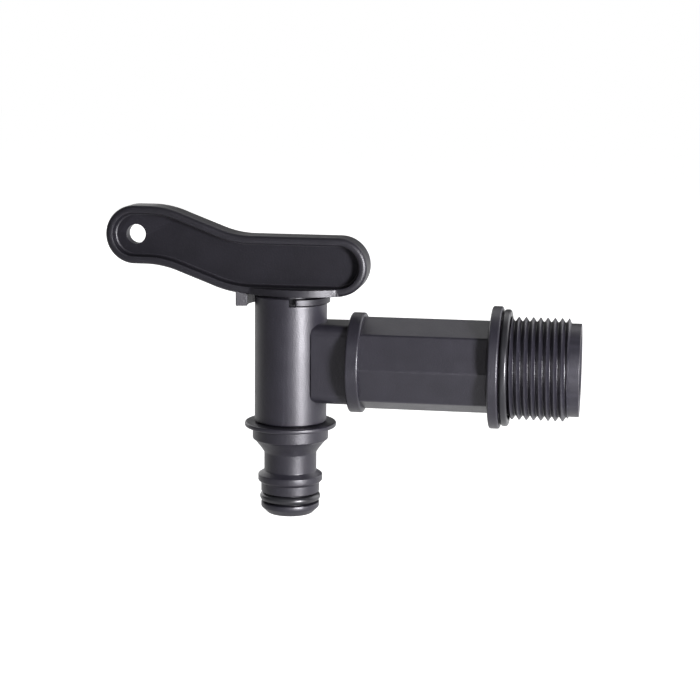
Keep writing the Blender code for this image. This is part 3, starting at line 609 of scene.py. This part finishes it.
def lever_spine():
    """Points along the lever's middle, from heel to tip, each with the slope there."""
    heel_z = LEVER_BOTTOM + LEVER_HALF_WIDTH
    tip_z = heel_z + LEVER_RISE
    tip_bend_x = -TIP_REACH + TIP_FLAT
    both = TIP_BEND + HEEL_BEND
    straight_rise = LEVER_RISE - both * (1 - math.cos(LEVER_SLOPE))
    heel_bend_x = tip_bend_x + both * math.sin(LEVER_SLOPE) + straight_rise / math.tan(LEVER_SLOPE)
    spine = [(HEEL_REACH, heel_z, 0.0)]
    for i in range(BEND_STEPS + 1):
        turn = LEVER_SLOPE * i / BEND_STEPS
        x = heel_bend_x - HEEL_BEND * math.sin(turn)
        spine.append((x, heel_z + HEEL_BEND * (1 - math.cos(turn)), turn))
    for i in range(BEND_STEPS + 1):
        turn = LEVER_SLOPE * (1 - i / BEND_STEPS)
        x = tip_bend_x + TIP_BEND * math.sin(turn)
        spine.append((x, tip_z - TIP_BEND * (1 - math.cos(turn)), turn))
    spine.append((-TIP_REACH, tip_z, 0.0))
    return spine


def eased_bend(before, vertex, after):
    """A soft bend from one straight line to the next, where the two would meet at the vertex."""
    bend = []
    for i in range(BEND_STEPS + 1):
        share = i / BEND_STEPS
        weights = ((1 - share) ** 2, 2 * share * (1 - share), share**2)
        x = sum(weight * point[0] for weight, point in zip(weights, (before, vertex, after)))
        z = sum(weight * point[1] for weight, point in zip(weights, (before, vertex, after)))
        bend.append((x, z))
    return bend


def lever_edge(inset):
    """The lever's side view as one closed line, this far inside its outer edge."""
    spine = lever_spine()
    lower = []
    upper = []
    for x, z, turn in spine:
        half = LEVER_HALF_WIDTH - LEVER_WAIST * math.sin(turn) / math.sin(LEVER_SLOPE) - inset
        lower.append((x - half * math.sin(turn), z - half * math.cos(turn)))
        upper.append((x + half * math.sin(turn), z + half * math.cos(turn)))
    # The bends on the hollow sides are wider than the spine makes them.
    along = INNER_BEND * math.cos(LEVER_SLOPE)
    down = INNER_BEND * math.sin(LEVER_SLOPE)
    slope_x, slope_z = lower[BEND_STEPS + 1]
    flat_z = lower[-1][1]
    meet_x = slope_x - (flat_z - slope_z) / math.tan(LEVER_SLOPE)
    lower[BEND_STEPS + 2 : 2 * BEND_STEPS + 3] = eased_bend(
        (meet_x + along, flat_z - down), (meet_x, flat_z), (meet_x - INNER_BEND, flat_z)
    )
    slope_x, slope_z = upper[BEND_STEPS + 2]
    flat_z = upper[0][1]
    meet_x = slope_x + (slope_z - flat_z) / math.tan(LEVER_SLOPE)
    upper[1 : BEND_STEPS + 2] = eased_bend(
        (meet_x + INNER_BEND, flat_z), (meet_x, flat_z), (meet_x - along, flat_z + down)
    )
    size = LEVER_HALF_WIDTH - inset
    tip = corner(spine[-1][0], spine[-1][1], size, -90, -270, 40)
    heel = corner(spine[0][0], spine[0][1], size, 90, -90, 40)
    return lower[:-1] + tip + upper[-2:0:-1] + heel[:-1]


def lever_blank():
    """Rings of points from the front web over the rim and round to the back web."""
    front = [(RIM_WIDTH + inward, WEB_HALF_THICKNESS + up) for inward, up in RIM_FOOT]
    front += [(RIM_WIDTH - outward, LEVER_HALF_THICKNESS - down) for outward, down in RIM_LIP]
    for i in range(RIM_STEPS + 1):
        turn = math.radians(90.0 * i / RIM_STEPS)
        depth = LEVER_HALF_THICKNESS - RIM_ROUNDING * (1 - math.cos(turn))
        front.append((RIM_ROUNDING * (1 - math.sin(turn)), depth))
    across = [(inset, -depth) for inset, depth in front] + [(0.0, 0.0)] + front[::-1]
    mesh = bpy.data.meshes.new("lever")
    shape = bmesh.new()
    rings = []
    for inset, depth in across:
        rings.append([shape.verts.new((TUBE_X + x, depth, z)) for x, z in lever_edge(inset)])
    for near, far in zip(rings, rings[1:]):
        for i in range(len(near)):
            j = (i + 1) % len(near)
            shape.faces.new((near[i], near[j], far[j], far[i]))
    shape.faces.new(rings[0])
    shape.faces.new(list(reversed(rings[-1])))
    bmesh.ops.recalc_face_normals(shape, faces=shape.faces)
    shape.to_mesh(mesh)
    shape.free()
    return new_piece("lever_moulding", mesh)


def lever_base():
    """The lens-shaped foot over the tube: two wide arcs that run into the lever through fillets."""
    arc_centre = BASE_ARC_RADIUS - BASE_HALF_WIDTH
    rise = arc_centre + LEVER_HALF_THICKNESS + BASE_FILLET
    reach = math.sqrt((BASE_ARC_RADIUS + BASE_FILLET) ** 2 - rise**2)
    span = math.degrees(math.asin(reach / (BASE_ARC_RADIUS + BASE_FILLET)))
    fillet_height = LEVER_HALF_THICKNESS + BASE_FILLET
    side = [(reach + RIM_ROUNDING, LEVER_HALF_THICKNESS - RIM_ROUNDING)]
    side += corner(reach, fillet_height, BASE_FILLET, -90, -90 - span, 8)
    side += corner(0.0, -arc_centre, BASE_ARC_RADIUS, 90 - span, 90 + span, 48)[1:-1]
    side += corner(-reach, fillet_height, BASE_FILLET, -90 + span, -90, 8)
    side.append((-reach - RIM_ROUNDING, LEVER_HALF_THICKNESS - RIM_ROUNDING))
    outline = side + [(-x, -y) for x, y in side]
    mesh = bpy.data.meshes.new("lever_base")
    shape = bmesh.new()
    centre = TUBE_X + BASE_OFFSET
    low = [shape.verts.new((centre + x, y, LEVER_BOTTOM)) for x, y in outline]
    high = [shape.verts.new((centre + x, y, LEVER_BOTTOM + BASE_HEIGHT)) for x, y in outline]
    shape.faces.new(low)
    shape.faces.new(high)
    for i in range(len(outline)):
        j = (i + 1) % len(outline)
        shape.faces.new((low[i], low[j], high[j], high[i]))
    bmesh.ops.recalc_face_normals(shape, faces=shape.faces)
    shape.to_mesh(mesh)
    shape.free()
    base = new_piece("lever_base", mesh)
    round_edges(base, BASE_EDGE)
    return base


lever = lever_blank()
join_or_cut(lever, lever_base(), "UNION")
hub_top = LEVER_BOTTOM + HUB_OVERLAP
hub = turn_profile(
    "lever_hub", [(0.0, hub_top), (HUB_RADIUS, hub_top), (HUB_RADIUS, HUB_BOTTOM), (0.0, HUB_BOTTOM)]
)
join_or_cut(lever, on_tube_axis(hub), "UNION")
join_or_cut(lever, ring_sector("stop_lug", *LUG, softness=LUG_EDGE), "UNION")
join_or_cut(lever, ring_sector("skirt", *SKIRT, softness=SKIRT_EDGE), "UNION")
socket_reach = SOCKET_SIDE / math.sqrt(2)
socket_foot = HUB_BOTTOM - OVERRUN
socket = turn_profile(
    "stem_socket",
    [(0.0, SOCKET_TOP), (socket_reach, SOCKET_TOP), (socket_reach, socket_foot), (0.0, socket_foot)],
    steps=4,
)
socket.data.transform(Matrix.Rotation(math.pi / 4, 4, "Z"))
join_or_cut(lever, on_tube_axis(socket), "DIFFERENCE")
mouth = TIP_HOLE_RADIUS + TIP_HOLE_EDGE
edge_depth = WEB_HALF_THICKNESS - TIP_HOLE_EDGE
past = LEVER_HALF_THICKNESS + OVERRUN
hole = turn_profile(
    "tip_hole",
    [(0.0, past), (mouth, past), (mouth, WEB_HALF_THICKNESS), (TIP_HOLE_RADIUS, edge_depth)]
    + [(TIP_HOLE_RADIUS, -edge_depth), (mouth, -WEB_HALF_THICKNESS), (mouth, -past), (0.0, -past)],
    steps=64,
)
tip_centre = Vector((TUBE_X - TIP_REACH, 0.0, LEVER_BOTTOM + LEVER_HALF_WIDTH + LEVER_RISE))
hole.data.transform(Matrix.Translation(tip_centre) @ Matrix.Rotation(math.pi / 2, 4, "X"))
join_or_cut(lever, hole, "DIFFERENCE")

LEVER_BLACK = (0.0070, 0.0064, 0.0096)
lever_plastic = moulded_plastic(
    "lever plastic",
    LEVER_BLACK,
    roughness=0.42,
    grain=2800.0,
    grain_depth=0.00006,
    seed=11.0,
    shine_level=0.62,
)
web_plastic = moulded_plastic(
    "textured web plastic",
    LEVER_BLACK,
    roughness=0.60,
    grain=1900.0,
    grain_depth=0.00005,
    seed=13.0,
    shine_level=0.25,
)
shade(lever, lever_plastic)
lever.data.materials.append(web_plastic)
for face in lever.data.polygons:
    web_offset = abs(abs(face.center.y) - WEB_HALF_THICKNESS)
    if abs(face.normal.y) > WEB_FACING and web_offset < WEB_TOLERANCE:
        face.material_index = 1
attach(lever, "lever_and_plug")
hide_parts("lever")


# Floor, lights and camera: a sheet of white paper under the tap, a narrow soft box close by in front
# on the right, four wide weak ones round it, and a dim room. The camera sees paper and room white.
FLOOR_HEIGHT = -0.060
FLOOR_HALF_SIZE = 3.0

floor_mesh = bpy.data.meshes.new("floor")
corner_signs = ((-1, -1), (1, -1), (1, 1), (-1, 1))
corners = [(x * FLOOR_HALF_SIZE, y * FLOOR_HALF_SIZE, FLOOR_HEIGHT) for x, y in corner_signs]
floor_mesh.from_pydata(corners, [], [(0, 1, 2, 3)])
floor = new_piece("floor", floor_mesh)
white_paper = bpy.data.materials.new("white paper")
white_paper.use_nodes = True
nodes, links = white_paper.node_tree.nodes, white_paper.node_tree.links
paper = nodes["Principled BSDF"]
paper.inputs["Base Color"].default_value = (0.60, 0.60, 0.60, 1.0)
paper.inputs["Roughness"].default_value = 0.9
paper.inputs["Specular IOR Level"].default_value = 0.1
paper.inputs["Emission Color"].default_value = (1.0, 1.0, 1.0, 1.0)
seen = nodes.new("ShaderNodeLightPath")
lift = nodes.new("ShaderNodeMath")
lift.operation = "MULTIPLY"
lift.inputs[1].default_value = 0.93
camera_white_and_painted_reflection = nodes.new("ShaderNodeMath")
camera_white_and_painted_reflection.operation = "MULTIPLY_ADD"
# Painted reflection: for mirrored rays the paper glows only behind the tap, so its front stays dark.
place = nodes.new("ShaderNodeTexCoord")
depth = nodes.new("ShaderNodeSeparateXYZ")
painted_reflection_mask = nodes.new("ShaderNodeMapRange")
painted_reflection_mask.inputs["From Min"].default_value = -0.03
painted_reflection_mask.inputs["From Max"].default_value = 0.06
painted_reflection_mask.inputs["To Max"].default_value = 0.5
links.new(place.outputs["Object"], depth.inputs["Vector"])
links.new(depth.outputs["Y"], painted_reflection_mask.inputs["Value"])
links.new(painted_reflection_mask.outputs["Result"], camera_white_and_painted_reflection.inputs[1])
links.new(seen.outputs["Is Glossy Ray"], camera_white_and_painted_reflection.inputs[0])
links.new(seen.outputs["Is Camera Ray"], camera_white_and_painted_reflection.inputs[2])
links.new(camera_white_and_painted_reflection.outputs["Value"], lift.inputs[0])
links.new(lift.outputs["Value"], paper.inputs["Emission Strength"])
floor_mesh.materials.append(white_paper)

room = bpy.data.worlds.new("room")
bpy.context.scene.world = room
room.use_nodes = True
nodes, links = room.node_tree.nodes, room.node_tree.links
air = nodes["Background"]
seen = nodes.new("ShaderNodeLightPath")
level = nodes.new("ShaderNodeMapRange")
level.inputs["To Min"].default_value = 0.113
level.inputs["To Max"].default_value = 1.0
links.new(seen.outputs["Is Camera Ray"], level.inputs["Value"])
air.inputs["Color"].default_value = (1.0, 1.0, 1.0, 1.0)
links.new(level.outputs["Result"], air.inputs["Strength"])


LIGHT_AIM = Vector((-0.037, 0.0, 0.0))


def soft_box(name, azimuth, height, distance, width, depth, power):
    """A rectangular lamp aimed at the tap; degrees from the front to the right, and from level up."""
    lamp = bpy.data.lights.new(name, "AREA")
    lamp.shape = "RECTANGLE"
    lamp.size = width
    lamp.size_y = depth
    lamp.energy = power
    stand = bpy.data.objects.new(name, lamp)
    stand.visible_camera = False
    bpy.context.scene.collection.objects.link(stand)
    across = math.radians(azimuth)
    up = math.radians(height)
    level_part = Vector((math.sin(across), -math.cos(across), 0.0)) * math.cos(up)
    stand.location = LIGHT_AIM + distance * (level_part + Vector((0.0, 0.0, math.sin(up))))
    stand.rotation_euler = (LIGHT_AIM - stand.location).to_track_quat("-Z", "Y").to_euler()


soft_box("key_soft_box", 43.0, 5.0, 0.42, 0.075, 0.15, 4.2)
soft_box("back_soft_box", 175.0, 50.0, 0.9, 0.8, 0.5, 1.1)
soft_box("left_back_soft_box", -140.0, 20.0, 0.9, 0.7, 0.7, 2.2)
soft_box("right_back_soft_box", 132.0, 18.0, 0.9, 0.7, 0.7, 2.8)
soft_box("upper_front_soft_box", -9.0, 35.0, 0.9, 0.5, 0.3, 0.27)

VIEW_YAW = 0.156311
VIEW_PITCH = 0.16786
VIEW_ROLL = 0.010018
VIEW_DISTANCE = 0.43866
VIEW_TARGET = Vector((-0.03731, 0.0, 0.00296))
camera_data = bpy.data.cameras.new("photo_camera")
camera_data.sensor_width = 36.0
camera_data.lens = 91.85
camera_data.clip_start = 0.01
camera = bpy.data.objects.new("photo_camera", camera_data)
bpy.context.scene.collection.objects.link(camera)
turned = (
    Matrix.Rotation(VIEW_YAW, 4, "Z")
    @ Matrix.Rotation(math.pi / 2 - VIEW_PITCH, 4, "X")
    @ Matrix.Rotation(VIEW_ROLL, 4, "Z")
)
step_back = turned.to_3x3() @ Vector((0.0, 0.0, VIEW_DISTANCE))
camera.matrix_world = Matrix.Translation(VIEW_TARGET + step_back) @ turned
bpy.context.scene.camera = camera
bpy.context.scene.view_settings.view_transform = "Standard"
